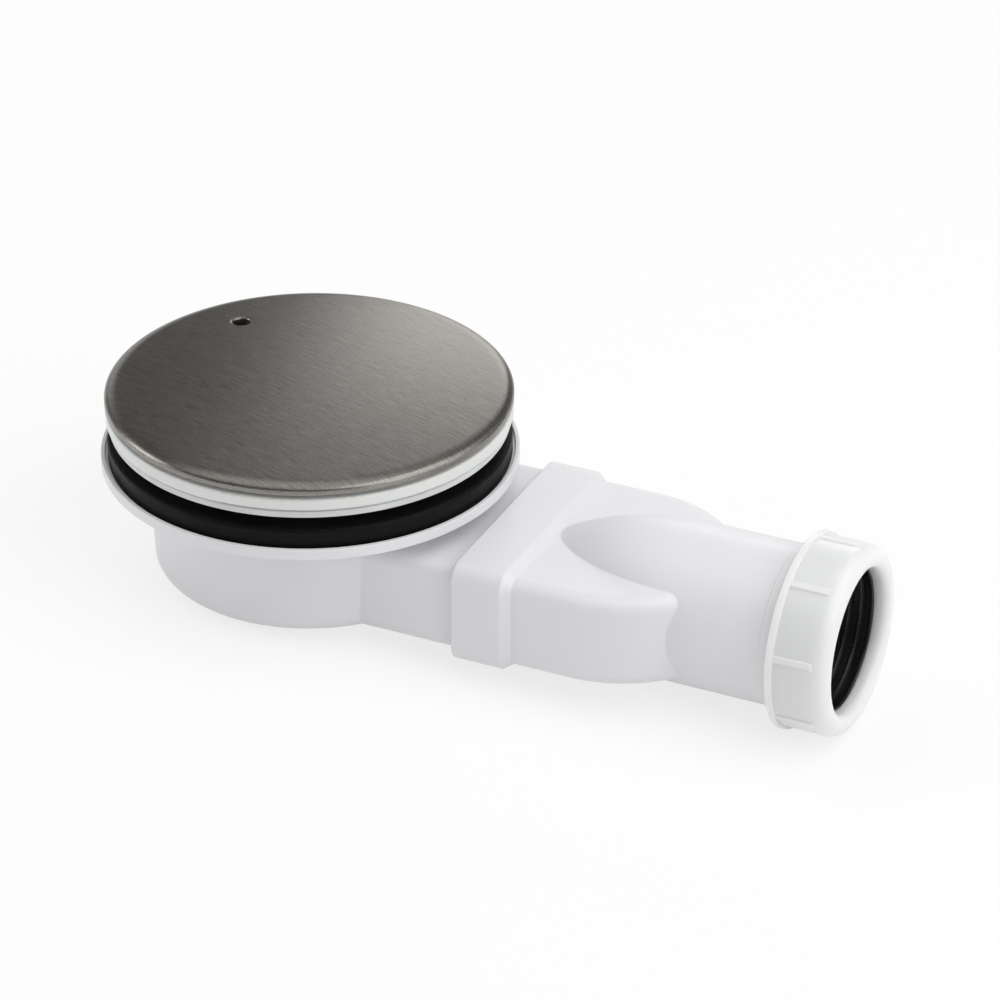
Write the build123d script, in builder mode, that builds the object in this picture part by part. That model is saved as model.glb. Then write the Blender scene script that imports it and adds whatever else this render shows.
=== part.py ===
from build123d import *

import os
from math import acos, atan2, degrees, sqrt

os.makedirs("parts", exist_ok=True)

# Shower trap for a tray with a round waste hole. The origin is on the waste's axis, in the plane of the
# tray's upper surface. +X points along the outlet and +Z points up. All sizes are in millimetres.

# Clearances
slip_gap = 0.3
glue_gap = 0.15
thread_gap = 0.2
head_gap = 0.4

# Tray that the trap clamps
tray_hole_diameter = 90.0
tray_thickness = 2.6
spigot_gap = 1.1

# Cover plate
cover_overhang = 0.1
cover_sheet = 1.0
cover_rim_height = 0.95
cover_edge_radius = 1.9
cover_crown = 2.0
drain_gap = 1.4
lift_hole_diameter = 5.0
lift_hole_roll = 0.8
lift_hole_depth = 2.4
lift_hole_reach = 41.7
lift_hole_angle = 144.7

# Cover carrier
carrier_ring_width = 4.0
carrier_rise = 0.7
spoke_count = 3
spoke_width = 7.0
spoke_thickness = 2.0
hub_diameter = 26.0
hub_width = 4.0
leg_thickness = 5.0
leg_width = 9.0

# Clamp flange
flange_rim_width = 13.5
flange_rim_thickness = 3.7
flange_rim_land = 3.6
flange_edge_radius = 0.7
flange_wall = 2.0
deck_thickness = 2.4
deck_lift = 1.6
socket_depth = 9.4

# Tray seals
upper_seal_width = 10.6
upper_seal_thickness = 3.5
lower_seal_width = 11.1
lower_seal_thickness = 6.0
seal_hole_gap = 1.0
seal_edge_radius = 0.9
upper_seal_top_radius = 0.6
upper_seal_edge_radius = 0.5

# Flange screws
screw_count = 3
screw_diameter = 3.9
screw_head_diameter = 7.2
screw_head_height = 2.0
screw_length = 25.0
screw_tip_length = 3.0
screw_slot_width = 1.1
screw_slot_length = 4.2
screw_slot_depth = 1.3
boss_wall = 3.25
boss_gap = 1.8
boss_hole_relief = 2.0

# Dip tube and its ring
dip_tube_wall = 2.6
dip_lip_width = 4.2
dip_lip_thickness = 1.6
dip_gap = 3.0
water_seal = 12.0
dip_rib_width = 1.8
dip_rib_height = 5.0
ring_section = 1.9
ring_depth = 5.4

# Pot and its flange
body_plate = 2.3
rim_gap = 0.9
rim_lip_width = 1.1
rim_lip_height = 0.9
rim_edge_radius = 0.3
pot_draft = 1.1
pot_depth = 32.4
pot_wall = 2.6
pot_edge_radius = 4.5
pot_root_radius = 1.5
neck_root_radius = 0.8

# Neck, flat and wide
neck_width = 64.4
neck_height = 26.0
neck_edge_radius = 4.0
neck_wall = 2.4
outlet_axis_height = 13.8
flat_drop = 0.3

# Socket collar and box of the outlet
collar_gap = 1.1
collar_length = 14.7
collar_slope_length = 2.7
collar_wall = 2.3
collar_corner_radius = 5.4
collar_edge_radius = 0.6
slope_edge_radius = 0.5
stop_wall = 0.7
box_step_width = 0.4
box_step_height = 0.6
box_wall = 2.4
box_edge_radius = 4.0
box_straight = 16.6
shoulder_radius = 37.0
shoulder_draw = 17.85
crease_radius = 0.4

# Round end of the outlet
waste_pipe_diameter = 40.0
pipe_gap = 0.5
pipe_wall = 2.25
pipe_run = 42.0
pipe_stop_depth = 30.0
pipe_stop_width = 2.5
pipe_stop_height = 1.6
hump_radius = 88.0
hump_lead = 1.3372
thread_wall = 2.6
thread_ring_width = 4.3
thread_ring_height = 0.8
thread_ring_radius = 0.3

# Rubber seal of the outlet
lip_gap = 0.2
seal_wall = 1.65
seal_flange_thickness = 3.2
seal_sleeve_length = 12.2
seal_rib_depth = 0.8
seal_rib_width = 1.1
seal_rib_pitch = 3.4

# Compression nut
nut_wall = 2.2
nut_length = 17.5
nut_lap = 0.6
nut_lip_thickness = 4.6
nut_lip_relief = 0.3
nut_corner_radius = 3.8
nut_lip_radius = 2.4
nut_bead_width = 2.1
nut_bead_height = 0.9
nut_bead_radius = 0.6
nut_rib_count = 8
nut_rib_width = 2.2
nut_rib_height = 0.7
nut_rib_radius = 0.4
nut_rib_gap = 0.4
nut_rib_turn = 35.0

# Radii and widths that follow from the sizes above
spigot_r = tray_hole_diameter / 2 - spigot_gap
flange_r = spigot_r + flange_rim_width
cover_r = flange_r + cover_overhang
spigot_inner_r = spigot_r - flange_wall
screw_r = screw_diameter / 2
screw_head_r = screw_head_diameter / 2
screw_circle_r = spigot_inner_r - screw_head_r - head_gap
dip_seat_r = screw_circle_r - screw_head_r - head_gap
dip_lip_r = dip_seat_r - slip_gap
dip_r = dip_lip_r - dip_lip_width
dip_inner_r = dip_r - dip_tube_wall
socket_r = dip_r + slip_gap
socket_outer_r = socket_r + flange_wall
boss_r = screw_r + boss_wall
seal_hole_r = tray_hole_diameter / 2 + seal_hole_gap
upper_seal_r = seal_hole_r + upper_seal_width
lower_seal_r = seal_hole_r + lower_seal_width
rim_inner_r = lower_seal_r + rim_gap
body_flange_r = rim_inner_r + rim_lip_width
pot_r = screw_circle_r + boss_r + pot_wall
pot_base_r = pot_r - pot_draft
waste_r = waste_pipe_diameter / 2
pipe_inner_r = waste_r + pipe_gap
pipe_r = pipe_inner_r + pipe_wall
thread_ring_r = pipe_r + thread_ring_height
seal_lip_r = waste_r + lip_gap
seal_r = seal_lip_r + seal_wall
seal_seat_r = seal_r + glue_gap
thread_r = seal_seat_r + thread_wall
nut_inner_r = thread_r + thread_gap
nut_r = nut_inner_r + nut_wall
nut_opening_r = seal_lip_r + nut_lip_relief
box_width = neck_width + 2 * box_step_width
box_height = neck_height + 2 * box_step_height

# Levels that follow from the sizes above
flange_under_z = upper_seal_thickness
flange_top_z = flange_under_z + flange_rim_thickness
cover_rim_z = flange_top_z + drain_gap
cover_edge_z = cover_rim_z + cover_rim_height
lower_seal_top_z = -tray_thickness
lower_seal_under_z = lower_seal_top_z - lower_seal_thickness
plate_under_z = lower_seal_under_z - body_plate
pot_under_z = plate_under_z - pot_depth
pot_floor_z = pot_under_z + pot_wall
outlet_z = pot_under_z + outlet_axis_height
flat_z = outlet_z - flat_drop
deck_under_z = lower_seal_under_z + deck_lift
deck_z = deck_under_z + deck_thickness
dip_seat_z = deck_z - dip_lip_thickness
dip_seat_under_z = dip_seat_z - deck_thickness
dip_end_z = pot_floor_z + dip_gap
weir_z = dip_end_z + water_seal
boss_z = dip_seat_under_z - boss_gap
screw_tip_z = deck_z - screw_length

# Stations along the outlet that follow from the sizes above
collar_rear_x = body_flange_r + collar_gap
collar_front_x = collar_rear_x + collar_length
box_start_x = collar_front_x + collar_slope_length
neck_stop_x = collar_front_x - stop_wall
neck_end_x = neck_stop_x - glue_gap
shoulder_x = box_start_x + box_straight
shoulder_run = sqrt(shoulder_radius**2 - (shoulder_radius - box_width / 2 + pipe_r) ** 2)
hump_end_x = shoulder_x + shoulder_run - hump_lead
pipe_end_x = hump_end_x + pipe_run
seal_front_x = pipe_end_x + seal_flange_thickness
nut_front_x = seal_front_x + nut_lip_thickness
nut_rear_x = nut_front_x - nut_length
thread_start_x = nut_rear_x + nut_lap

outlet_axis = Axis((0, 0, outlet_z), (1, 0, 0))
outlet_plane = Plane(origin=(0, 0, outlet_z), x_dir=(1, 0, 0), z_dir=(0, -1, 0))


def pipe_section(x):
    """Plane across the round pipe at a station, with its own x along Y and its own y along Z."""
    return Plane(origin=(x, 0, outlet_z), x_dir=(0, 1, 0), z_dir=(1, 0, 0))


def flat_section(x):
    """Plane across the flat neck and box at a station, with its own x along Y and its own y along Z."""
    return Plane(origin=(x, 0, flat_z), x_dir=(0, 1, 0), z_dir=(1, 0, 0))


def axis_reach(edge):
    """Distance of an edge's middle from the pipe's axis."""
    return sqrt(edge.center().Y**2 + (edge.center().Z - outlet_z) ** 2)


# Cover plate: a pressed cap whose dome runs tangent into its edge radius and its rim
dome_reach = cover_r - cover_edge_radius
dome_r = (dome_reach**2 + cover_crown**2) / (2 * cover_crown) + cover_edge_radius
dome_centre_z = cover_edge_z + cover_edge_radius + cover_crown - dome_r
edge_angle = degrees(atan2(cover_edge_z - dome_centre_z, dome_reach))


def dome_z(reach):
    """Height of the dome's outer face at a distance from the axis."""
    return dome_centre_z + sqrt(dome_r**2 - reach**2)


lift_hole_r = lift_hole_diameter / 2
lift_top_z = dome_z(lift_hole_reach)
lift_under_z = lift_top_z - lift_hole_depth

with BuildPart() as cover_plate:
    with BuildSketch(Plane.XZ):
        with BuildLine():
            Line((cover_r, cover_rim_z), (cover_r, cover_edge_z))
            CenterArc((dome_reach, cover_edge_z), cover_edge_radius, 0, edge_angle)
            CenterArc((0, dome_centre_z), dome_r, edge_angle, 90 - edge_angle)
            Line((0, dome_centre_z + dome_r), (0, dome_centre_z + dome_r - cover_sheet))
            CenterArc((0, dome_centre_z), dome_r - cover_sheet, edge_angle, 90 - edge_angle)
            CenterArc((dome_reach, cover_edge_z), cover_edge_radius - cover_sheet, 0, edge_angle)
            Line((cover_r - cover_sheet, cover_edge_z), (cover_r - cover_sheet, cover_rim_z))
            Line((cover_r - cover_sheet, cover_rim_z), (cover_r, cover_rim_z))
        make_face()
    revolve(axis=Axis.Z)
    with BuildSketch(Plane.XY.offset(lift_under_z)):
        with PolarLocations(lift_hole_reach, 1, lift_hole_angle):
            Circle(lift_hole_r + cover_sheet)
    extrude(amount=lift_hole_depth - cover_sheet / 2)
    with BuildSketch(Plane.XY.offset(lift_under_z)):
        with PolarLocations(lift_hole_reach, 1, lift_hole_angle):
            Circle(lift_hole_r)
    extrude(amount=lift_hole_depth + cover_crown, mode=Mode.SUBTRACT)
    hole_edges = cover_plate.edges(Select.LAST).sort_by(Axis.Z)
    fillet(hole_edges[-1], lift_hole_roll)
cover_plate.part.label = "cover_plate"
export_step(cover_plate.part, "parts/cover_plate.step")

# Cover carrier: a ring pressed into the cap's rim, with spokes to a hub and a leg under each spoke
carrier_r = cover_r - cover_sheet
carrier_z = cover_edge_z + carrier_rise
carrier_under_z = cover_rim_z + glue_gap
leg_reach = (dip_seat_r + spigot_inner_r) / 2

with BuildPart() as cover_carrier:
    with BuildSketch(Plane.XY.offset(carrier_under_z)):
        Circle(carrier_r)
        Circle(carrier_r - carrier_ring_width, mode=Mode.SUBTRACT)
    extrude(amount=carrier_z - carrier_under_z)
    top_edges = cover_carrier.edges().group_by(Axis.Z)[-1]
    chamfer(top_edges.sort_by(SortBy.LENGTH)[-1], carrier_rise)
    with BuildSketch(Plane.XY.offset(carrier_z - spoke_thickness)):
        with PolarLocations((carrier_r - carrier_ring_width / 2) / 2, spoke_count):
            Rectangle(carrier_r - carrier_ring_width / 2, spoke_width)
        Circle(hub_diameter / 2)
        Circle(hub_diameter / 2 - hub_width, mode=Mode.SUBTRACT)
    extrude(amount=spoke_thickness)
    with BuildSketch(Plane.XY.offset(deck_z)):
        with PolarLocations(leg_reach, spoke_count):
            RectangleRounded(leg_thickness, leg_width, leg_thickness / 4)
    extrude(amount=carrier_z - spoke_thickness - deck_z)
cover_carrier.part.label = "cover_carrier"
export_step(cover_carrier.part, "parts/cover_carrier.step")

# Clamp flange: rim on the tray, spigot through its hole, deck for the screws and socket for the dip tube
with BuildPart() as clamp_flange:
    with BuildSketch(Plane.XZ):
        with BuildLine():
            Polyline(
                (spigot_r, flange_under_z),
                (flange_r, flange_under_z),
                (flange_r, flange_top_z),
                (flange_r - flange_rim_land, flange_top_z),
                (spigot_inner_r, flange_under_z),
                (spigot_inner_r, deck_z),
                (dip_seat_r, deck_z),
                (dip_seat_r, dip_seat_z),
                (socket_r, dip_seat_z),
                (socket_r, deck_z - socket_depth),
                (socket_outer_r, deck_z - socket_depth),
                (socket_outer_r, dip_seat_under_z),
                (dip_seat_r + flange_wall, dip_seat_under_z),
                (dip_seat_r + flange_wall, deck_under_z),
                (spigot_r, deck_under_z),
                close=True,
            )
        make_face()
    revolve(axis=Axis.Z)
    rim_edges = clamp_flange.edges().filter_by(GeomType.CIRCLE).group_by(SortBy.RADIUS)[-1]
    fillet(rim_edges, flange_edge_radius)
    with Locations(Plane.XY.offset(deck_z)):
        with PolarLocations(screw_circle_r, screw_count, 180):
            CounterSinkHole(
                radius=screw_r + thread_gap,
                counter_sink_radius=screw_head_r + thread_gap,
                depth=deck_thickness * 2,
            )
clamp_flange.part.label = "clamp_flange"
export_step(clamp_flange.part, "parts/clamp_flange.step")

# Upper tray seal: a flat ring under the flange's rim
with BuildPart() as upper_tray_seal:
    with BuildSketch():
        Circle(upper_seal_r)
        Circle(seal_hole_r, mode=Mode.SUBTRACT)
    extrude(amount=upper_seal_thickness)
    outer_edges = upper_tray_seal.edges().filter_by(GeomType.CIRCLE).group_by(SortBy.RADIUS)[-1]
    fillet(outer_edges.sort_by(Axis.Z)[-1], upper_seal_top_radius)
    fillet(outer_edges.sort_by(Axis.Z)[0], upper_seal_edge_radius)
upper_tray_seal.part.label = "upper_tray_seal"
export_step(upper_tray_seal.part, "parts/upper_tray_seal.step")

# Lower tray seal: a thick ring that lies inside the rim of the body's flange
with BuildPart() as lower_tray_seal:
    with BuildSketch(Plane.XY.offset(lower_seal_under_z)):
        Circle(lower_seal_r)
        Circle(seal_hole_r, mode=Mode.SUBTRACT)
    extrude(amount=lower_seal_thickness)
    fillet(lower_tray_seal.edges().group_by(Axis.Z)[-1], seal_edge_radius)
lower_tray_seal.part.label = "lower_tray_seal"
export_step(lower_tray_seal.part, "parts/lower_tray_seal.step")

# Flange screws: countersunk heads in the deck, plain shanks and pointed tips in the bosses
with BuildPart() as flange_screws:
    with BuildSketch(Plane(origin=(-screw_circle_r, 0, 0), x_dir=(1, 0, 0), z_dir=(0, -1, 0))):
        with BuildLine():
            Polyline(
                (0, deck_z),
                (screw_head_r, deck_z),
                (screw_r, deck_z - screw_head_height),
                (screw_r, screw_tip_z + screw_tip_length),
                (0, screw_tip_z),
                close=True,
            )
        make_face()
    revolve(axis=Axis((-screw_circle_r, 0, 0), (0, 0, 1)))
    with BuildSketch(Plane(origin=(-screw_circle_r, 0, deck_z))):
        Rectangle(screw_slot_length, screw_slot_width)
        Rectangle(screw_slot_width, screw_slot_length)
    extrude(amount=-screw_slot_depth, mode=Mode.SUBTRACT)
    one_screw = flange_screws.part
    with PolarLocations(0, screw_count):
        add(one_screw)
flange_screws.part.label = "flange_screws"
export_step(flange_screws.part, "parts/flange_screws.step")

# Dip tube: hangs in the flange's socket by its lip, with a cross to lift it by
groove_r = socket_r - ring_section - 2 * glue_gap
groove_z = dip_seat_z - ring_depth

with BuildPart() as dip_tube:
    with BuildSketch(Plane.XZ):
        with BuildLine():
            Polyline(
                (dip_inner_r, dip_end_z),
                (dip_r, dip_end_z),
                (dip_r, dip_seat_z),
                (dip_lip_r, dip_seat_z),
                (dip_lip_r, deck_z),
                (dip_inner_r, deck_z),
                close=True,
            )
        make_face()
        with Locations(((groove_r + dip_lip_r) / 2, groove_z)):
            Rectangle(dip_lip_r - groove_r, ring_section + 2 * slip_gap, mode=Mode.SUBTRACT)
    revolve(axis=Axis.Z)
    with BuildSketch(Plane.XY.offset(deck_z - dip_rib_height)):
        Rectangle(2 * dip_inner_r + dip_tube_wall, dip_rib_width)
        Rectangle(dip_rib_width, 2 * dip_inner_r + dip_tube_wall)
    extrude(amount=dip_rib_height)
dip_tube.part.label = "dip_tube"
export_step(dip_tube.part, "parts/dip_tube.step")

# Dip tube seal: a round-section ring in the tube's groove
with BuildPart() as dip_tube_seal:
    with BuildSketch(Plane.XZ):
        with Locations((groove_r + glue_gap + ring_section / 2, groove_z)):
            Circle(ring_section / 2)
    revolve(axis=Axis.Z)
dip_tube_seal.part.label = "dip_tube_seal"
export_step(dip_tube_seal.part, "parts/dip_tube_seal.step")

# Inside of the neck: a flat channel that starts over the weir, which is the pot's own wall
with BuildPart() as neck_channel:
    with BuildSketch(flat_section(0)):
        RectangleRounded(
            neck_width - 2 * neck_wall, neck_height - 2 * neck_wall, neck_edge_radius - neck_wall
        )
    extrude(amount=neck_end_x)
    with BuildSketch(Plane.XY.offset(pot_under_z)):
        Circle(pot_r)
    extrude(amount=weir_z - pot_under_z, mode=Mode.SUBTRACT)

# Trap body: pot with a rimmed flange, screw bosses inside and a flat neck
with BuildPart() as trap_body:
    with BuildSketch(Plane.XZ):
        with BuildLine():
            Polyline(
                (0, pot_under_z),
                (pot_base_r, pot_under_z),
                (pot_r, plate_under_z),
                (body_flange_r, plate_under_z),
                (body_flange_r, lower_seal_under_z + rim_lip_height),
                (rim_inner_r, lower_seal_under_z + rim_lip_height),
                (rim_inner_r, lower_seal_under_z),
                (0, lower_seal_under_z),
                close=True,
            )
        make_face()
    revolve(axis=Axis.Z)
    pot_circles = trap_body.edges().filter_by(GeomType.CIRCLE)
    fillet(pot_circles.group_by(SortBy.RADIUS)[-1], rim_edge_radius)
    fillet(pot_circles.sort_by(Axis.Z)[0], pot_edge_radius)
    fillet(pot_circles.filter_by(lambda e: abs(e.radius - pot_r) < glue_gap), pot_root_radius)
    with BuildSketch(flat_section(0)):
        RectangleRounded(neck_width, neck_height, neck_edge_radius)
    extrude(amount=neck_end_x)
    neck_sides = trap_body.faces().filter_by(Axis.Y)
    fillet([side.edges().sort_by(Axis.X)[0] for side in neck_sides], neck_root_radius)
    with BuildSketch(Plane.XZ):
        with BuildLine():
            Polyline(
                (0, pot_floor_z),
                (pot_base_r - pot_wall, pot_floor_z),
                (pot_r - pot_wall, plate_under_z),
                (pot_r - pot_wall, lower_seal_under_z + rim_lip_height),
                (0, lower_seal_under_z + rim_lip_height),
                close=True,
            )
        make_face()
    revolve(axis=Axis.Z, mode=Mode.SUBTRACT)
    add(neck_channel.part, mode=Mode.SUBTRACT)
    with BuildSketch(Plane.XY.offset(pot_floor_z - pot_wall / 2)):
        with PolarLocations(screw_circle_r, screw_count, 180):
            Circle(boss_r)
    extrude(amount=boss_z - pot_floor_z + pot_wall / 2)
    with Locations(Plane.XY.offset(boss_z)):
        with PolarLocations(screw_circle_r, screw_count, 180):
            Hole(radius=screw_r + thread_gap, depth=boss_z - screw_tip_z + boss_hole_relief)
trap_body.part.label = "trap_body"
export_step(trap_body.part, "parts/trap_body.step")

# Outlet body: a socket collar, a flat box with drawn-in shoulders and a round pipe that swells out of it

def box_plan(inset, start_x, level):
    """Plan of the flat box, drawn in by an arc on each side until it is inside the pipe."""
    radius = shoulder_radius - inset
    drop = shoulder_draw - inset
    with BuildSketch(Plane.XY.offset(level)) as plan:
        with BuildLine():
            side = Line((start_x, box_width / 2 - inset), (shoulder_x, box_width / 2 - inset))
            turn = JernArc(side @ 1, side % 1, radius, -degrees(acos(1 - drop / radius)))
            Line(turn @ 1, ((turn @ 1).X, 0))
            Line((start_x, 0), side @ 0)
            mirror(about=Plane.XZ)
        make_face()
    return plan.sketch


def pipe_profile(inset, start_x, end_x):
    """Half section of the pipe from its hump to its end, drawn in by the wall where it is the bore."""
    radius = hump_radius - inset
    run = hump_end_x - start_x
    with BuildSketch(outlet_plane) as profile:
        with BuildLine():
            nose = (start_x, pipe_r - hump_radius + sqrt(radius**2 - run**2))
            swell = RadiusArc(nose, (hump_end_x, pipe_r - inset), radius)
            Polyline(swell @ 1, (end_x, pipe_r - inset), (end_x, 0), (start_x, 0), swell @ 0)
        make_face()
    return profile.sketch


box_outer = box_plan(0, collar_front_x, flat_z - box_height / 2)
box_inner = box_plan(box_wall, neck_stop_x, flat_z - box_height / 2 + box_wall)
pipe_outer = pipe_profile(0, collar_front_x, pipe_end_x)
pipe_inner = pipe_profile(pipe_wall, neck_stop_x, pipe_end_x)
collar_width = neck_width + 2 * (glue_gap + collar_wall)
collar_height = neck_height + 2 * (glue_gap + collar_wall)
pipe_stop_x = pipe_end_x - pipe_stop_depth

with BuildPart() as outlet_body:
    extrude(box_outer, amount=box_height)
    side_edges = outlet_body.edges().group_by(Axis.Z)[0] + outlet_body.edges().group_by(Axis.Z)[-1]
    fillet(side_edges.filter_by(Axis.Y, reverse=True), box_edge_radius)
    revolve(pipe_outer, axis=outlet_axis)
    fillet(outlet_body.edges().filter_by(GeomType.BSPLINE), crease_radius)
    with BuildSketch(flat_section(collar_rear_x)):
        RectangleRounded(collar_width, collar_height, collar_corner_radius)
    extrude(amount=collar_length)
    fillet(outlet_body.edges().group_by(Axis.X)[0], collar_edge_radius)
    with BuildSketch(flat_section(collar_front_x)):
        RectangleRounded(collar_width, collar_height, collar_corner_radius)
    with BuildSketch(flat_section(box_start_x)):
        RectangleRounded(box_width, box_height, box_edge_radius)
    loft()
    slope_edges = outlet_body.edges().filter_by_position(Axis.X, collar_front_x, collar_front_x)
    fillet(slope_edges, slope_edge_radius)
    with BuildSketch(outlet_plane):
        with BuildLine():
            Polyline(
                (thread_start_x - thread_ring_width, pipe_inner_r),
                (thread_start_x - thread_ring_width, thread_ring_r),
                (thread_start_x, thread_ring_r),
                (thread_start_x, thread_r),
                (pipe_end_x, thread_r),
                (pipe_end_x, pipe_inner_r),
                close=True,
            )
        make_face()
    revolve(axis=outlet_axis)
    ring_edges = outlet_body.edges(Select.LAST).filter_by(GeomType.CIRCLE)
    ring_edges = ring_edges.filter_by(lambda e: abs(e.radius - thread_ring_r) < glue_gap)
    fillet(ring_edges.sort_by(Axis.X)[0], thread_ring_radius)
    extrude(box_inner, amount=box_height - 2 * box_wall, mode=Mode.SUBTRACT)
    revolve(pipe_inner, axis=outlet_axis, mode=Mode.SUBTRACT)
    with BuildSketch(flat_section(collar_rear_x)):
        RectangleRounded(
            neck_width + 2 * glue_gap, neck_height + 2 * glue_gap, neck_edge_radius + glue_gap
        )
    extrude(amount=neck_stop_x - collar_rear_x, mode=Mode.SUBTRACT)
    with BuildSketch(pipe_section(pipe_end_x)):
        Circle(seal_seat_r)
    extrude(amount=-seal_sleeve_length - glue_gap, mode=Mode.SUBTRACT)
    with BuildSketch(pipe_section(pipe_stop_x)):
        Circle(pipe_inner_r + pipe_wall / 2)
        Circle(pipe_inner_r - pipe_stop_height, mode=Mode.SUBTRACT)
    extrude(amount=-pipe_stop_width)
outlet_body.part.label = "outlet_body"
export_step(outlet_body.part, "parts/outlet_body.step")

# Outlet seal: a rubber sleeve with a flange under the nut's lip and ribs in its bore
seal_rear_x = pipe_end_x - seal_sleeve_length
seal_rib_count = int((seal_front_x - seal_rear_x - seal_rib_width) / seal_rib_pitch) + 1

with BuildPart() as outlet_seal:
    with BuildSketch(outlet_plane):
        with BuildLine():
            Polyline(
                (seal_rear_x, seal_lip_r + seal_rib_depth),
                (seal_rear_x, seal_r),
                (pipe_end_x, seal_r),
                (pipe_end_x, thread_r - slip_gap),
                (seal_front_x, thread_r - slip_gap),
                (seal_front_x, seal_lip_r + seal_rib_depth),
                close=True,
            )
        make_face()
        for rib in range(seal_rib_count):
            rib_x = seal_front_x - seal_rib_width / 2 - rib * seal_rib_pitch
            with Locations((rib_x, seal_lip_r + seal_rib_depth)):
                Rectangle(seal_rib_width, 2 * seal_rib_depth)
    revolve(axis=outlet_axis)
outlet_seal.part.label = "outlet_seal"
export_step(outlet_seal.part, "parts/outlet_seal.step")

# Outlet nut: a ribbed ring with a rear bead, a rounded front and a lip that squeezes the seal
nut_bead_r = nut_r + nut_bead_height
nut_rib_end_x = nut_front_x - nut_corner_radius - nut_rib_gap

with BuildPart() as outlet_nut:
    with BuildSketch(outlet_plane):
        with BuildLine():
            Polyline(
                (nut_rear_x, nut_inner_r),
                (nut_rear_x, nut_bead_r),
                (nut_rear_x + nut_bead_width, nut_bead_r),
                (nut_rear_x + nut_bead_width, nut_r),
                (nut_front_x, nut_r),
                (nut_front_x, nut_opening_r),
                (seal_front_x, nut_opening_r),
                (seal_front_x, nut_inner_r),
                close=True,
            )
        make_face()
    revolve(axis=outlet_axis)
    nut_circles = outlet_nut.edges().filter_by(GeomType.CIRCLE)
    front_edges = nut_circles.group_by(Axis.X)[-1].sort_by(SortBy.RADIUS)
    fillet(front_edges[-1], nut_corner_radius)
    fillet(front_edges[0], nut_lip_radius)
    fillet(nut_circles.group_by(SortBy.RADIUS)[-1], nut_bead_radius)
    with BuildSketch(pipe_section(nut_rear_x + nut_bead_width / 2)):
        with PolarLocations(nut_r, nut_rib_count, nut_rib_turn):
            Rectangle(2 * nut_rib_height, nut_rib_width)
    extrude(amount=nut_rib_end_x - nut_rear_x - nut_bead_width / 2)
    rib_edges = outlet_nut.edges(Select.LAST)
    fillet(rib_edges.filter_by(lambda e: axis_reach(e) > nut_r + nut_rib_height / 2), nut_rib_radius)
outlet_nut.part.label = "outlet_nut"
export_step(outlet_nut.part, "parts/outlet_nut.step")
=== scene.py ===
# %% [markdown]
# # Dressing a shower trap
# The frame holds the trap's solids at their real size. In this lesson they get their finishes: a
# brushed metal cover, moulded white plastic, and black and grey rubber. Four pieces need finer forms
# than the solids have. They are the cover, the nut, the lip seal and the upper seal, and bmesh
# operators model them again.

# %% Load the frame
import math

import bmesh
import bpy
from mathutils import Matrix, Vector


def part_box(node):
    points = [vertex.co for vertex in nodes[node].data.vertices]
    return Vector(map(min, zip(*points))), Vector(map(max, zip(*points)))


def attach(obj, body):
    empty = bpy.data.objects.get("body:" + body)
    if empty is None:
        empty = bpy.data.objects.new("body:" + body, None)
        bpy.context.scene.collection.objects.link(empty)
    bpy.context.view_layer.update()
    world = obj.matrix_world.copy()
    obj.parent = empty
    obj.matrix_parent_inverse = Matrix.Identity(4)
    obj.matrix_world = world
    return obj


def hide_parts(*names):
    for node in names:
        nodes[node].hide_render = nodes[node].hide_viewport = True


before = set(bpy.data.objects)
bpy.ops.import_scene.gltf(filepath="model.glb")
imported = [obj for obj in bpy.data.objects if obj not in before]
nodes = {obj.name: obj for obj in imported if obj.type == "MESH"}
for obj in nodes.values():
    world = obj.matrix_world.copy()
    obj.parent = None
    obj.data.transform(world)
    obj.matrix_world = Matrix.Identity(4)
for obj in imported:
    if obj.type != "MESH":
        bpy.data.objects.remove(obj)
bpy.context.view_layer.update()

MM = 0.001
print("nodes in the frame:", sorted(nodes))

# %% [markdown]
# ## The places that everything hangs from
# A node's box gives its lowest and highest corners in metres. The waste's axis is the Z axis, and the
# outlet's axis runs along X at the middle of the nut, so most radii and levels can be read straight off
# the boxes.

# %% Read the main places
cover_low, cover_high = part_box("cover_plate")
nut_low, nut_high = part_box("outlet_nut")
seal_low, seal_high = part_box("outlet_seal")
body_low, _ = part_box("trap_body")
outlet_z = (nut_low.z + nut_high.z) / 2
outlet_centre = Vector((0, 0, outlet_z))
print("cover radius", round(cover_high.x / MM, 2), "mm, outlet axis at", round(outlet_z / MM, 2), "mm")

# %% [markdown]
# ## The camera
# A product photograph is taken from far away with a long lens, so that the round cover stays a clean
# ellipse. The camera stands on a sphere round the aim point: an azimuth, an elevation and a distance
# are easier to match to a photograph than a position in space.

# %% Place the camera
view_azimuth = math.radians(25.15)
view_elevation = math.radians(30.0)
view_distance = 1.391
view_aim = Vector((0.05905, 0.0, -0.0114))
view_lens = 180.0

view_back = Vector((
    math.sin(view_azimuth) * math.cos(view_elevation),
    -math.cos(view_azimuth) * math.cos(view_elevation),
    math.sin(view_elevation),
))
camera = bpy.data.objects.new("camera", bpy.data.cameras.new("camera"))
camera.data.lens = view_lens
camera.location = view_aim + view_back * view_distance
camera.rotation_euler = view_back.to_track_quat("Z", "Y").to_euler()
bpy.context.scene.collection.objects.link(camera)
bpy.context.scene.camera = camera
bpy.context.scene.view_settings.view_transform = "Standard"
print("camera at", [round(c, 3) for c in camera.location])

# %% [markdown]
# ## Node helpers
# Materials are small graphs. These helpers add a node, set its sockets and return it, so that each
# finish below can be read as a short recipe.

# %% Node helpers
def add_node(tree, kind, **sockets):
    """New node of a kind, with sockets set by name. A value that is itself a socket is linked."""
    node = tree.nodes.new(kind)
    for name, value in sockets.items():
        socket = node.inputs[name.replace("_", " ")]
        if isinstance(value, bpy.types.NodeSocket):
            tree.links.new(value, socket)
        else:
            socket.default_value = value
    return node


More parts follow.
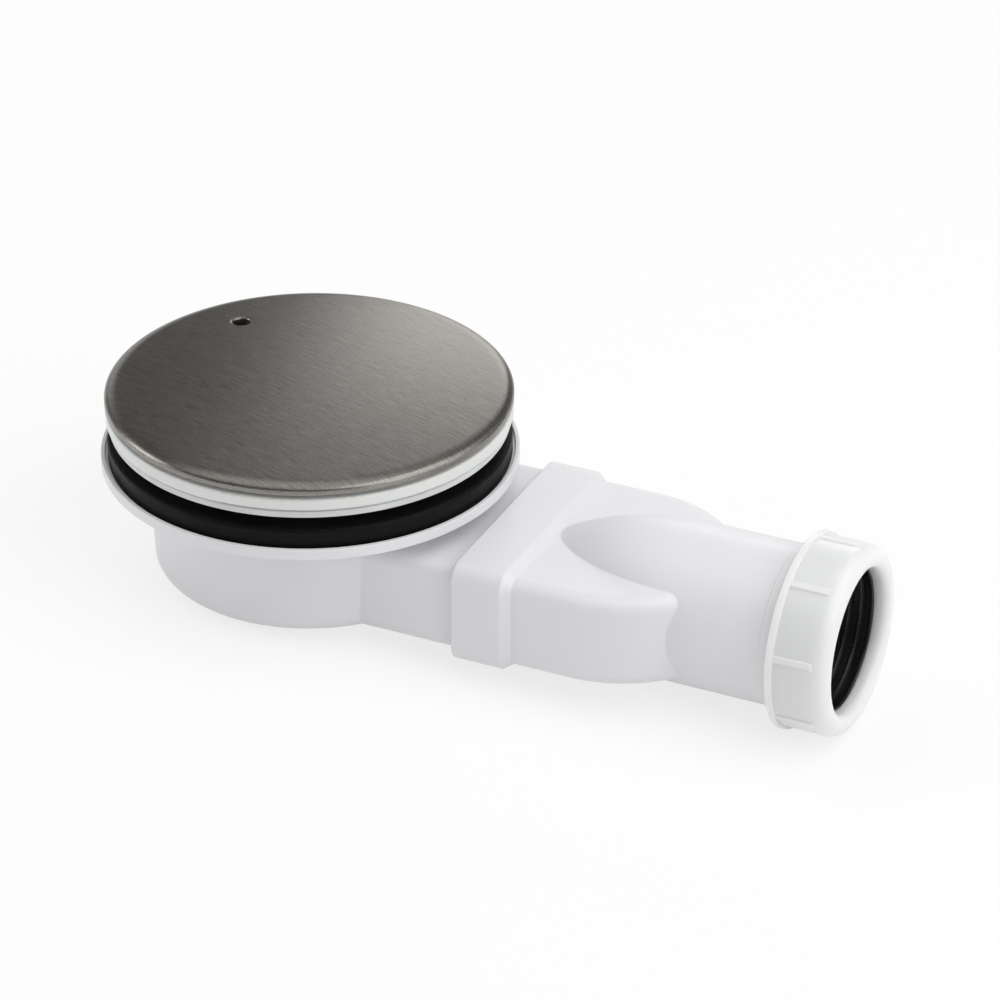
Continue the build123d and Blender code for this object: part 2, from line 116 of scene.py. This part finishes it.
def add_math(tree, operation, first, second):
    """Math node on two values or sockets."""
    node = tree.nodes.new("ShaderNodeMath")
    node.operation = operation
    for socket, value in zip(node.inputs, (first, second)):
        if isinstance(value, bpy.types.NodeSocket):
            tree.links.new(value, socket)
        else:
            socket.default_value = value
    return node.outputs[0]


def add_range(tree, value, low, high, to_low, to_high):
    """Map Range node from one span of values to another."""
    node = tree.nodes.new("ShaderNodeMapRange")
    tree.links.new(value, node.inputs["Value"])
    for name, number in zip(("From Min", "From Max", "To Min", "To Max"), (low, high, to_low, to_high)):
        node.inputs[name].default_value = number
    return node.outputs["Result"]


# %% [markdown]
# ## The studio's world
# The world fills the shadows with an even, low light. It is white where the camera sees it. In
# reflections it is white at the horizon and falls to a dark ceiling, which keeps the metal deep.

# %% World
fill_level = 0.35
ceiling_level = 0.10
horizon_height = (0.0, 0.16)

world = bpy.data.worlds.new("studio")
bpy.context.scene.world = world
world.use_nodes = True
sky = world.node_tree
sky.nodes.clear()
rays = sky.nodes.new("ShaderNodeLightPath")
direction = sky.nodes.new("ShaderNodeTexCoord")
height = sky.nodes.new("ShaderNodeSeparateXYZ")
sky.links.new(direction.outputs["Generated"], height.inputs[0])
mirrored = add_range(sky, height.outputs["Z"], *horizon_height, 1.0, ceiling_level)
seen = add_math(sky, "MAXIMUM", rays.outputs["Is Camera Ray"], rays.outputs["Is Transmission Ray"])
level = sky.nodes.new("ShaderNodeMix")
level.inputs["A"].default_value = fill_level
sky.links.new(rays.outputs["Is Glossy Ray"], level.inputs["Factor"])
sky.links.new(mirrored, level.inputs["B"])
strength = add_math(sky, "MAXIMUM", level.outputs["Result"], seen)
background = add_node(sky, "ShaderNodeBackground", Color=(1, 1, 1, 1), Strength=strength)
add_node(sky, "ShaderNodeOutputWorld", Surface=background.outputs[0])
print("world: fill", fill_level, "and ceiling", ceiling_level)

# %% [markdown]
# ## Soft boxes
# White plastic on white needs soft light from above and from the side, so that the tops are bright and
# the sides fall to a light grey. Area lamps are the studio's soft boxes. The brushed cover works as a
# dull mirror, so the window behind it decides how its shine runs from left to right. A large lamp makes
# a soft line on a rolled edge, and a small one a hard line, so the strongest lamps are also the
# largest.

# %% Soft boxes
soft_boxes = {
    "overhead": dict(place=(0.05, -0.05, 1.25), size=(1.7, 1.4), power=6.5),
    "right_side": dict(place=(1.00, 0.05, 0.88), size=(1.5, 1.3), power=10.0),
    "right_front": dict(place=(1.25, -0.50, 0.40), size=(0.7, 0.6), power=0.8),
    "back_window": dict(place=(-0.30, 1.12, 0.43), size=(0.42, 0.34), power=1.45),
    "left_strip": dict(place=(-0.78, 0.70, 0.32), size=(0.34, 0.30), power=0.3),
    "left_front": dict(place=(-1.20, -0.40, 0.45), size=(0.6, 0.6), power=3.8),
}
for name, box in soft_boxes.items():
    lamp = bpy.data.lights.new(name, "AREA")
    lamp.shape = "RECTANGLE"
    lamp.size, lamp.size_y = box["size"]
    lamp.energy = box["power"]
    holder = bpy.data.objects.new(name, lamp)
    holder.location = box["place"]
    holder.rotation_euler = (holder.location - view_aim).to_track_quat("Z", "Y").to_euler()
    bpy.context.scene.collection.objects.link(holder)
print("soft boxes:", list(soft_boxes))

# %% [markdown]
# ## The floor
# The trap keeps its own level frame, in which the nut hangs lower than the pot. Laid on a table it
# would lean on both, so the floor is tilted to touch the two. It is pale, and lightened where the
# camera sees it, so that it meets the white background and still carries the soft shadow.

# %% Floor
floor_half = 4.0
nut_tread = 1.4 * MM
pot_tread = 19.0 * MM

nut_rest = Vector((nut_low.x + nut_tread, 0, nut_low.z))
pot_rest = Vector((body_low.x + pot_tread, 0, body_low.z))
floor_slope = math.atan2(pot_rest.z - nut_rest.z, nut_rest.x - pot_rest.x)
bm = bmesh.new()
bmesh.ops.create_grid(bm, x_segments=1, y_segments=1, size=floor_half)
bmesh.ops.rotate(bm, verts=bm.verts[:], matrix=Matrix.Rotation(floor_slope, 3, "Y"))
bmesh.ops.translate(bm, verts=bm.verts[:], vec=nut_rest)
floor_mesh = bpy.data.meshes.new("floor")
bm.to_mesh(floor_mesh)
bm.free()
floor = bpy.data.objects.new("floor", floor_mesh)
bpy.context.scene.collection.objects.link(floor)
print("floor slope", round(math.degrees(floor_slope), 2), "degrees")

# %% Floor paper
paper_colour = (0.93, 0.93, 0.93, 1)
paper_white = 0.76

floor_paper = bpy.data.materials.new("floor_paper")
floor_paper.use_nodes = True
paper = floor_paper.node_tree
paper.nodes.clear()
paper_rays = paper.nodes.new("ShaderNodeLightPath").outputs
paper_seen = add_math(paper, "MAXIMUM", paper_rays["Is Camera Ray"], paper_rays["Is Glossy Ray"])
paper_matt = add_node(paper, "ShaderNodeBsdfDiffuse", Color=paper_colour)
paper_glow = add_node(paper, "ShaderNodeEmission", Color=(1, 1, 1, 1), Strength=1.0)
paper_share = add_math(paper, "MULTIPLY", paper_seen, paper_white)
paper_mix = add_node(paper, "ShaderNodeMixShader", Fac=paper_share)
paper.links.new(paper_matt.outputs[0], paper_mix.inputs[1])
paper.links.new(paper_glow.outputs[0], paper_mix.inputs[2])
add_node(paper, "ShaderNodeOutputMaterial", Surface=paper_mix.outputs[0])
floor.data.materials.append(floor_paper)
print("floor paper:", paper_white, "of it white to the camera")

# %% [markdown]
# ## What every finish shares
# No real surface is even. A noise gives it two shades that run into each other, makes its gloss wander,
# and presses a fine relief into it. Object coordinates keep a noise in its place on the piece. These
# helpers do each of those jobs once, for plastic, rubber and metal alike.

# %% Finish helpers
noise_span = (0.3, 0.7)


def new_finish(name):
    """Empty material with a Principled shader, and Object coordinates to pattern it by."""
    material = bpy.data.materials.new(name)
    material.use_nodes = True
    tree = material.node_tree
    shader = tree.nodes["Principled BSDF"]
    place = tree.nodes.new("ShaderNodeTexCoord").outputs["Object"]
    return material, tree, shader, place


def add_noise(tree, place, scale, detail):
    """Noise at a scale, as a value from 0 to 1."""
    return add_node(tree, "ShaderNodeTexNoise", Vector=place, Scale=scale, Detail=detail).outputs["Fac"]


def shade(colour, factor):
    """Colour made darker or lighter by a factor, and no lighter than white."""
    return [min(1.0, c * factor) for c in colour]


def tint(tree, shader, factor, dark, light):
    """Base colour between two shades by a factor."""
    mix = tree.nodes.new("ShaderNodeMix")
    mix.data_type = "RGBA"
    mix.inputs["A"].default_value = (*dark, 1)
    mix.inputs["B"].default_value = (*light, 1)
    tree.links.new(factor, mix.inputs["Factor"])
    tree.links.new(mix.outputs["Result"], shader.inputs["Base Color"])


def vary_gloss(tree, shader, factor, gloss, spread, span=noise_span):
    """Roughness that wanders to both sides of a value by a factor."""
    wander = add_range(tree, factor, *span, gloss - spread, gloss + spread)
    tree.links.new(wander, shader.inputs["Roughness"])


def emboss(tree, shader, relief, strength, depth):
    """Fine relief in the surface."""
    bump = add_node(tree, "ShaderNodeBump", Strength=strength, Distance=depth, Height=relief)
    tree.links.new(bump.outputs["Normal"], shader.inputs["Normal"])


# %% [markdown]
# ## Moulded white plastic
# The body is injection-moulded: a satin white with a faint cool cast. The melt leaves a soft mottle in
# the colour and in the gloss, and the steel of the mould leaves a very fine grain, so two noises at
# different scales are enough. The nut is of a clearer plastic, and some light passes through it.

# %% Moulded plastic
plastic_mottle = 55.0
plastic_shades = (0.965, 1.02)
plastic_gloss_spread = 0.05
plastic_ior = 1.49
mould_grain = 1400.0
mould_grain_depth = 0.05 * MM
mould_grain_strength = 0.12
glow_colour_depths = (1.0, 1.0, 0.9)


def moulded_plastic(name, colour, gloss, glow=0.0, glow_depth=2.0 * MM):
    """Satin moulded plastic with a soft mottle and a mould grain and, if clear, some light through it."""
    material, tree, shader, place = new_finish(name)
    mottle = add_noise(tree, place, plastic_mottle, 3.0)
    tint(tree, shader, mottle, *[shade(colour, factor) for factor in plastic_shades])
    vary_gloss(tree, shader, mottle, gloss, plastic_gloss_spread)
    grain = add_noise(tree, place, mould_grain, 2.0)
    emboss(tree, shader, grain, mould_grain_strength, mould_grain_depth)
    shader.inputs["IOR"].default_value = plastic_ior
    shader.inputs["Subsurface Weight"].default_value = glow
    shader.inputs["Subsurface Radius"].default_value = glow_colour_depths
    shader.inputs["Subsurface Scale"].default_value = glow_depth
    print("plastic:", name)
    return material


body_white = moulded_plastic("body_white", (0.80, 0.80, 0.82), 0.40)
flange_white = moulded_plastic("flange_white", (0.77, 0.785, 0.765), 0.38)
nut_white = moulded_plastic("nut_white", (0.84, 0.85, 0.84), 0.32, glow=0.8, glow_depth=5.0 * MM)

# %% [markdown]
# ## Rubber
# The seals are matt rubber. Black rubber isn't quite black: it has a broad, weak sheen where light
# grazes it, and a fine skin that breaks the sheen up. The grey seal is a softer foam rubber with a more
# open grain.

# %% Rubber
rubber_cloud = 90.0
rubber_shades = (0.8, 1.15)
rubber_gloss_spread = 0.07
rubber_ior = 1.52
skin_depth = 0.04 * MM
skin_strength = 0.25


def rubber(name, colour, gloss, skin, shine):
    """Matt rubber with a fine skin."""
    material, tree, shader, place = new_finish(name)
    cloud = add_noise(tree, place, rubber_cloud, 4.0)
    tint(tree, shader, cloud, *[shade(colour, factor) for factor in rubber_shades])
    vary_gloss(tree, shader, cloud, gloss, rubber_gloss_spread)
    pores = add_noise(tree, place, skin, 3.0)
    emboss(tree, shader, pores, skin_strength, skin_depth)
    shader.inputs["IOR"].default_value = rubber_ior
    shader.inputs["Specular IOR Level"].default_value = shine
    print("rubber:", name)
    return material


black_rubber = rubber("black_rubber", (0.004, 0.004, 0.0042), 0.45, 1800.0, 0.10)
lip_rubber = rubber("lip_rubber", (0.005, 0.005, 0.0052), 0.30, 1800.0, 0.45)
grey_rubber = rubber("grey_rubber", (0.72, 0.73, 0.735), 0.60, 900.0, 0.4)

# %% [markdown]
# ## Brushed metal
# The cover is dark plated steel, brushed in straight lines. Each scratch is a tiny groove, so
# reflections spread across the lines and stay tight along them. The shader's anisotropy does that, and
# a tangent from the piece's own map tells it which way the lines run. Three noises in that map draw the
# brushing: fine scratches and broad streaks, both stretched along the lines, and short flecks that keep
# it from looking like hair.

# %% Brushed metal
brush_map = "brush"
brush_layers = {
    "scratches": dict(stretch=(3600.0, 170.0, 1.0), detail=3.0, share=0.5),
    "streaks": dict(stretch=(1300.0, 34.0, 1.0), detail=2.0, share=0.15),
    "flecks": dict(stretch=(2600.0, 1500.0, 1.0), detail=2.0, share=0.35),
}
brush_shades = (0.52, 1.48)
brush_gloss_span = (0.25, 0.75)
brush_gloss_spread = 0.06
brush_depth = 0.02 * MM
brush_strength = 0.10
brush_spread = 0.6


def brushed_metal(name, colour, gloss):
    """Dark plated metal with straight brush lines, which run along the second axis of the piece's map."""
    material, tree, shader, _ = new_finish(name)
    lines = tree.nodes.new("ShaderNodeUVMap")
    lines.uv_map = brush_map
    brushing = 0.0
    for layer in brush_layers.values():
        place = add_node(tree, "ShaderNodeMapping", Vector=lines.outputs["UV"], Scale=layer["stretch"])
        strokes = add_noise(tree, place.outputs[0], 1.0, layer["detail"])
        brushing = add_math(tree, "ADD", brushing, add_math(tree, "MULTIPLY", strokes, layer["share"]))
    contrast = add_range(tree, brushing, *noise_span, 0.0, 1.0)
    tint(tree, shader, contrast, *[shade(colour, factor) for factor in brush_shades])
    vary_gloss(tree, shader, brushing, gloss, brush_gloss_spread, brush_gloss_span)
    emboss(tree, shader, brushing, brush_strength, brush_depth)
    tangent = tree.nodes.new("ShaderNodeTangent")
    tangent.direction_type = "UV_MAP"
    tangent.uv_map = brush_map
    tree.links.new(tangent.outputs[0], shader.inputs["Tangent"])
    shader.inputs["Metallic"].default_value = 1.0
    shader.inputs["Anisotropic"].default_value = brush_spread
    print("metal:", name, "with", list(brush_layers))
    return material


cover_metal = brushed_metal("cover_metal", (0.272, 0.258, 0.238), 0.34)

# %% [markdown]
# ## Screw steel
# The screws sit under the cover and are only seen with it off. Plain stainless steel with faint turning
# marks is enough: a noise in rings round each screw would need its own map, so a fine even grain stands
# in.

# %% Screw steel
steel_grain = 2200.0
steel_dark = (0.50, 0.50, 0.49)
steel_light = (0.66, 0.66, 0.65)
steel_gloss = 0.29
steel_gloss_spread = 0.07

screw_steel, tree, shader, place = new_finish("screw_steel")
turning = add_noise(tree, place, steel_grain, 2.0)
tint(tree, shader, turning, steel_dark, steel_light)
vary_gloss(tree, shader, turning, steel_gloss, steel_gloss_spread)
shader.inputs["Metallic"].default_value = 1.0
print("metal:", screw_steel.name)

# %% [markdown]
# ## Round pieces from an outline
# Most of this object is turned: a small outline swept round an axis. The outline is a ring of a few
# corner points. A vertex bevel rounds each corner that has a radius, and a spin sweeps the outline all
# the way round. The spin's seam is merged and the normals are made to point outwards before anything
# else is done.

# %% Turning helpers
weld = 0.002 * MM


def round_corner(bm, vert, radius, segments):
    """Rounds one corner of a wire outline by a vertex bevel, with the setback that its radius needs."""
    first, second = [edge.other_vert(vert).co - vert.co for edge in vert.link_edges]
    setback = radius / math.tan(first.angle(second) / 2)
    bmesh.ops.bevel(
        bm, geom=[vert], offset=setback, offset_type="OFFSET", affect="VERTICES",
        segments=segments, profile=0.5, material=-1,
    )


def turned(corners, centre, axis, out, steps, segments=6):
    """Outline turned about an axis. A corner is (place along the axis, distance out, radius)."""
    bm = bmesh.new()
    verts = [bm.verts.new(centre + axis * a + out * r) for a, r, _ in corners]
    for first, second in zip(verts, verts[1:] + verts[:1]):
        bm.edges.new((first, second))
    for vert, (_, _, radius) in zip(verts, corners):
        if radius > 0:
            round_corner(bm, vert, radius, segments)
    bmesh.ops.spin(
        bm, geom=bm.verts[:] + bm.edges[:], cent=centre, axis=axis,
        angle=2 * math.pi, steps=steps, use_merge=True,
    )
    bmesh.ops.remove_doubles(bm, verts=bm.verts[:], dist=weld)
    bmesh.ops.recalc_face_normals(bm, faces=bm.faces[:])
    return bm


def finished(name, bm, material, sharp=35.0):
    """Object made from a bmesh, smooth except at edges sharper than an angle, riding on the trap."""
    mesh = bpy.data.meshes.new(name)
    bm.to_mesh(mesh)
    bm.free()
    mesh.shade_smooth()
    mesh.set_sharp_from_angle(angle=math.radians(sharp))
    mesh.materials.append(material)
    piece = bpy.data.objects.new(name, mesh)
    bpy.context.scene.collection.objects.link(piece)
    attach(piece, "root")
    print(name, "has", len(mesh.polygons), "faces")
    return piece


# %% [markdown]
# ## The cover
# The real cover is pressed from sheet: a very flat dome that turns down through a soft roll into a
# short rim, with a lift hole whose edge is drawn inwards. The roll is a quarter of an ellipse. It has
# to start where the dome's slope is also its own, and each of the two depends on the other, so a few
# rounds of correction settle where they meet.

# %% Cover sizes
cover_r = cover_high.x
cover_sheet = 1.0 * MM
cover_rim = 0.95 * MM
cover_edge = 1.9 * MM
cover_roll = 4.6 * MM
settle_rounds = 8

edge_z = cover_low.z + cover_rim
dome_reach = cover_r - cover_edge
dome_rise = cover_high.z - edge_z - cover_edge
dome_radius = (dome_reach**2 + dome_rise**2) / (2 * dome_rise) + cover_edge
roll_turn = 0.0
for settle in range(settle_rounds):
    dome_end = cover_r - cover_roll * (1 - math.sin(roll_turn))
    dome_end_z = cover_high.z - dome_radius + math.sqrt(dome_radius**2 - dome_end**2)
    dome_slope = math.asin(dome_end / dome_radius)
    roll_height = (dome_end_z - edge_z) / math.cos(roll_turn)
    roll_turn = math.atan(math.tan(dome_slope) * cover_roll / roll_height)
print("dome radius", round(dome_radius / MM), "mm")
print("slope at the dome's end", round(math.degrees(dome_slope), 2), "degrees")

# %% [markdown]
# ## The dome and its hole
# The cover is modelled as one face of its sheet. A ring of faces is bridged between the hole and the
# edge, divided, and lifted to the dome. A spun cap with a hole cut out of it would leave long thin
# triangles round the hole, and they would show in the metal.

# %% Dome with its hole
hole_r = 2.5 * MM
hole_roll = 0.75 * MM
hole_depth = 2.4 * MM
hole_reach = 41.7 * MM
hole_angle = math.radians(144.7)
cover_steps = 192
dome_rows = 44

hole_middle = Vector((hole_reach * math.cos(hole_angle), hole_reach * math.sin(hole_angle), 0))
sheet = bmesh.new()
bmesh.ops.create_circle(
    sheet, segments=cover_steps, radius=hole_r + hole_roll, matrix=Matrix.Translation(hole_middle)
)
hole_loop = sheet.edges[:]
bmesh.ops.create_circle(sheet, segments=cover_steps, radius=dome_end)
edge_loop = [e for e in sheet.edges if e not in hole_loop]
bmesh.ops.bridge_loops(sheet, edges=sheet.edges[:])
spokes = [e for e in sheet.edges if not e.is_boundary]
bmesh.ops.subdivide_edges(sheet, edges=spokes, cuts=dome_rows, use_grid_fill=True)
for vert in sheet.verts:
    vert.co.z = cover_high.z - dome_radius + math.sqrt(dome_radius**2 - vert.co.xy.length_squared)
print("dome:", len(sheet.faces), "faces")

# %% [markdown]
# ## Rolled edges
# A press bends the sheet over at its edge and draws it down into the hole. Both are open edges of the
# dome, so both are made by one helper: it extrudes the edge a small step at a time, and sets each
# step's radius and drop. The steps follow a quarter turn, and a last step makes the straight rim.

# %% Rolled edges
roll_steps = 12


def roll_edge(bm, loop, middle, steps):
    """Extrudes an open round edge through a few steps. A step is the new radius and the drop to it."""
    for radius, drop in steps:
        grown = bmesh.ops.extrude_edge_only(bm, edges=loop)["geom"]
        verts = [g for g in grown if isinstance(g, bmesh.types.BMVert)]
        growth = radius / (verts[0].co.xy - middle.xy).length
        bmesh.ops.scale(bm, verts=verts, vec=(growth, growth, 1), space=Matrix.Translation(-middle))
        bmesh.ops.translate(bm, verts=verts, vec=(0, 0, -drop))
        loop = [g for g in grown if isinstance(g, bmesh.types.BMEdge) and g.is_boundary]


edge_turns = [roll_turn + (math.pi / 2 - roll_turn) * i / roll_steps for i in range(roll_steps + 1)]
edge_steps = [
    (cover_r - cover_roll * (1 - math.sin(turn)), roll_height * (math.cos(last) - math.cos(turn)))
    for last, turn in zip(edge_turns, edge_turns[1:])
]
hole_turns = [math.pi / 2 * i / roll_steps for i in range(roll_steps + 1)]
hole_steps = [
    (hole_r + hole_roll * (1 - math.sin(turn)), hole_roll * (math.cos(last) - math.cos(turn)))
    for last, turn in zip(hole_turns, hole_turns[1:])
]
roll_edge(sheet, edge_loop, Vector(), edge_steps + [(cover_r, cover_rim)])
roll_edge(sheet, hole_loop, hole_middle, hole_steps + [(hole_r, hole_depth - hole_roll)])
bmesh.ops.recalc_face_normals(sheet, faces=sheet.faces[:])
if sum(face.normal.z * face.calc_area() for face in sheet.faces) < 0:
    bmesh.ops.reverse_faces(sheet, faces=sheet.faces[:])
print("pressed sheet:", len(sheet.faces), "faces")

# %% [markdown]
# ## Sheet thickness and the brush map
# The sheet gets its thickness last, so that the inner face follows the outer one. The brush map is a
# plan view of the cover, turned to the way the lines run. On the steep rim a plan view would smear, so
# the map goes round the rim there, as a brush does.

# %% Sheet thickness and brush map
brush_turn = math.radians(-15.0)
steep = math.cos(math.radians(50.0))

bmesh.ops.solidify(sheet, geom=sheet.faces[:], thickness=cover_sheet)
brush = sheet.loops.layers.uv.new(brush_map)
along = Vector((math.cos(brush_turn), math.sin(brush_turn), 0))
across = Vector((-math.sin(brush_turn), math.cos(brush_turn), 0))
for face in sheet.faces:
    middle = face.calc_center_median()
    on_rim = abs(face.normal.z) < steep and middle.xy.length > dome_reach
    for corner in face.loops:
        place = corner.vert.co
        if on_rim:
            turn = math.atan2(middle.y, middle.x) - place.xy.angle_signed(middle.xy)
            corner[brush].uv = (place.z, turn * cover_r)
        else:
            corner[brush].uv = (place.dot(across), place.dot(along))
print("cover volume", round(sheet.calc_volume() / MM**3), "mm3")

# %% Cover piece
cover = finished("cover_cap", sheet, cover_metal)
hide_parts("cover_plate")

# %% [markdown]
# ## The nut
# The compression nut is a moulded ring with a bead at its rear, a full round front and low grip ribs.
# Its outline is turned first. The front of the bead gets an extra corner at the height of the ribs, so
# that each rib can grow into the bead there.

# %% Nut ring
nut_axis = Vector((1, 0, 0))
nut_steps = 160
nut_wall = 2.2 * MM
nut_bead_rise = 0.9 * MM
nut_bead_length = 2.1 * MM
nut_corner = 3.8 * MM
nut_lip_radius = 2.4 * MM
nut_opening_r = 20.5 * MM
rib_count = 8
rib_turn = math.radians(33.0)
rib_height = 0.6 * MM
rib_gap = 0.4 * MM

nut_bead_r = (nut_high.z - nut_low.z) / 2
nut_bead_x = nut_low.x + nut_bead_length
nut_r = nut_bead_r - nut_bead_rise
nut_inner_r = nut_r - nut_wall
rib_end_x = nut_high.x - nut_corner - rib_gap
nut_corners = [
    (nut_low.x, nut_inner_r, 0.3 * MM),
    (nut_low.x, nut_bead_r, 0.6 * MM),
    (nut_bead_x, nut_bead_r, 0.25 * MM),
    (nut_bead_x, nut_r + rib_height, 0),
    (nut_bead_x, nut_r, 0),
    (rib_end_x, nut_r, 0),
    (nut_high.x, nut_r, nut_corner),
    (nut_high.x, nut_opening_r, nut_lip_radius),
    (seal_high.x, nut_opening_r, 0.2 * MM),
    (seal_high.x, nut_inner_r, 0),
]
first_rib = Vector((0, math.cos(rib_turn), math.sin(rib_turn)))
ring = turned(nut_corners, outlet_centre, nut_axis, first_rib, nut_steps)
print("nut ring:", len(ring.faces), "faces")

# %% [markdown]
# ## Grip ribs
# Ribs that are only pushed into the ring would leave hidden faces inside it. So they are drawn out of
# its wall: a strip of wall faces two columns wide is extruded and set to the rib's height, its rear end
# is merged with the bead, and the faces between the two are deleted. The bevel rounds the rib's outer
# edges, as in the mould, and a count of open edges shows whether the surface is still closed.

# %% Where a rib is
rib_half = 2 * math.pi / nut_steps
rib_spacing = 2 * math.pi / rib_count
rib_crease = math.radians(50.0)
hair = 0.01 * MM


def from_axis(place):
    """Offset of a place from the outlet's axis, across the axis."""
    return Vector((0, place.y, place.z - outlet_z))


def off_rib(place):
    """Angle from a place to the middle of the nearest rib."""
    turn = (math.atan2(place.z - outlet_z, place.y) - rib_turn) / rib_spacing
    return abs(turn - round(turn)) * rib_spacing


def on_rib(face):
    """True for a face of the nut's wall where a rib stands."""
    middle = face.calc_center_median()
    on_wall = nut_bead_x + hair < middle.x < rib_end_x and abs(from_axis(middle).length - nut_r) < hair
    return on_wall and off_rib(middle) < rib_half


def behind_rib(face):
    """True for a face where a rib's end meets the front of the bead."""
    middle = face.calc_center_median()
    on_front = abs(middle.x - nut_bead_x) < hair and nut_r < from_axis(middle).length < nut_r + rib_height
    return on_front and off_rib(middle) < rib_half


def rib_edge(edge):
    """True for an outer edge of a rib."""
    middle = (edge.verts[0].co + edge.verts[1].co) / 2
    beside = off_rib(middle) < rib_half + hair / nut_r
    along_rib = nut_bead_x + hair < middle.x < rib_end_x + hair
    raised = nut_r + hair < from_axis(middle).length < nut_r + rib_height + hair
    sharp = edge.is_manifold and edge.is_convex and edge.calc_face_angle() > rib_crease
    return sharp and beside and along_rib and raised


footprint = [f for f in ring.faces if on_rib(f)]
print("ribs stand on", len(footprint), "wall faces")

# %% Grip ribs
rib_soft = 0.48 * MM

lifted = bmesh.ops.extrude_face_region(ring, geom=footprint)["geom"]
bmesh.ops.delete(ring, geom=[f for f in footprint if f.is_valid], context="FACES")
for vert in [g for g in lifted if isinstance(g, bmesh.types.BMVert)]:
    out = from_axis(vert.co)
    vert.co += out.normalized() * (nut_r + rib_height - out.length)
bmesh.ops.remove_doubles(ring, verts=ring.verts[:], dist=weld)
bmesh.ops.delete(ring, geom=[f for f in ring.faces if behind_rib(f)], context="FACES")
bmesh.ops.recalc_face_normals(ring, faces=ring.faces[:])
rib_edges = [e for e in ring.edges if rib_edge(e)]
bmesh.ops.bevel(
    ring, geom=rib_edges, offset=rib_soft, offset_type="OFFSET", affect="EDGES",
    segments=5, profile=0.5, material=-1, clamp_overlap=True,
)
bmesh.ops.remove_doubles(ring, verts=ring.verts[:], dist=weld)
open_edges = sum(1 for e in ring.edges if not e.is_manifold)
print("ribs:", len(rib_edges), "edges softened,", open_edges, "open edges")

# %% Nut piece
nut = finished("nut_ring", ring, nut_white)
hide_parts("outlet_nut")

# %% [markdown]
# ## The lip seal
# Inside the nut sits a rubber sleeve whose bore has a row of lips that grip the waste pipe. Their tips
# are rounded, and each catches a thin line of light. The whole sleeve is one turned outline, and the
# lips are repeated in it.

# %% Seal outline
lip_r = 20.2 * MM
lip_base_r = 21.0 * MM
lip_width = 1.1 * MM
lip_pitch = 3.4 * MM
lip_count = 5
lip_tip = 0.45 * MM
lip_root = 0.15 * MM
sleeve_r = 21.85 * MM
seal_flange_thickness = 3.2 * MM

seal_flange_r = (seal_high.z - seal_low.z) / 2
seal_flange_x = seal_high.x - seal_flange_thickness
seal_corners = [
    (seal_low.x, lip_base_r, 0.2 * MM),
    (seal_low.x, sleeve_r, 0.3 * MM),
    (seal_flange_x, sleeve_r, 0.2 * MM),
    (seal_flange_x, seal_flange_r, 0.4 * MM),
    (seal_high.x, seal_flange_r, 0.5 * MM),
]
for lip in range(lip_count):
    front = seal_high.x - lip * lip_pitch
    if lip:
        seal_corners.append((front, lip_base_r, lip_root))
    seal_corners.append((front, lip_r, lip_tip))
    seal_corners.append((front - lip_width, lip_r, lip_tip))
    seal_corners.append((front - lip_width, lip_base_r, lip_root))
sleeve = turned(seal_corners, outlet_centre, nut_axis, Vector((0, 0, 1)), nut_steps, segments=4)
print("seal:", len(sleeve.faces), "faces")

# %% Seal piece
seal = finished("lip_sleeve", sleeve, lip_rubber)
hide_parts("outlet_seal")

# %% [markdown]
# ## The upper seal
# The seal under the flange is a flat foam ring, almost as wide as the flange. Out of the box it is
# thinner than its space in the tray, and its upper edge is cut back, which leaves a thin dark line
# under the flange. That is a small step in the outline, so the ring is turned from its corners as the
# nut was.

# %% Upper seal outline
foam_hole_r = 46.0 * MM
foam_rise = 1.0 * MM
foam_step_height = 0.45 * MM
foam_step_depth = 0.7 * MM
foam_steps = 192

foam_low, foam_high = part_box("upper_tray_seal")
foam_r = foam_high.x
foam_under_z = foam_low.z + foam_rise
foam_step_z = foam_high.z - foam_step_height
foam_step_r = foam_r - foam_step_depth
foam_corners = [
    (foam_under_z, foam_hole_r, 0),
    (foam_under_z, foam_r, 0.5 * MM),
    (foam_step_z, foam_r, 0.3 * MM),
    (foam_step_z, foam_step_r, 0),
    (foam_high.z, foam_step_r, 0),
    (foam_high.z, foam_hole_r, 0),
]
foam = turned(foam_corners, Vector(), Vector((0, 0, 1)), Vector((1, 0, 0)), foam_steps, segments=4)
print("upper seal:", len(foam.faces), "faces")

# %% Upper seal piece
foam_ring = finished("foam_ring", foam, grey_rubber)
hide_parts("upper_tray_seal")

# %% [markdown]
# ## Finishes on the solids
# The other solids have the right shape already, so they only need their material. The meshes stay as
# they are, and only their material slots are changed.

# %% Finishes on the solids
solid_finishes = {
    "cover_carrier": body_white,
    "clamp_flange": flange_white,
    "lower_tray_seal": black_rubber,
    "flange_screws": screw_steel,
    "dip_tube": body_white,
    "dip_tube_seal": black_rubber,
    "trap_body": body_white,
    "outlet_body": body_white,
}
for name, material in solid_finishes.items():
    nodes[name].data.materials.clear()
    nodes[name].data.materials.append(material)
    print(name, "gets", material.name)
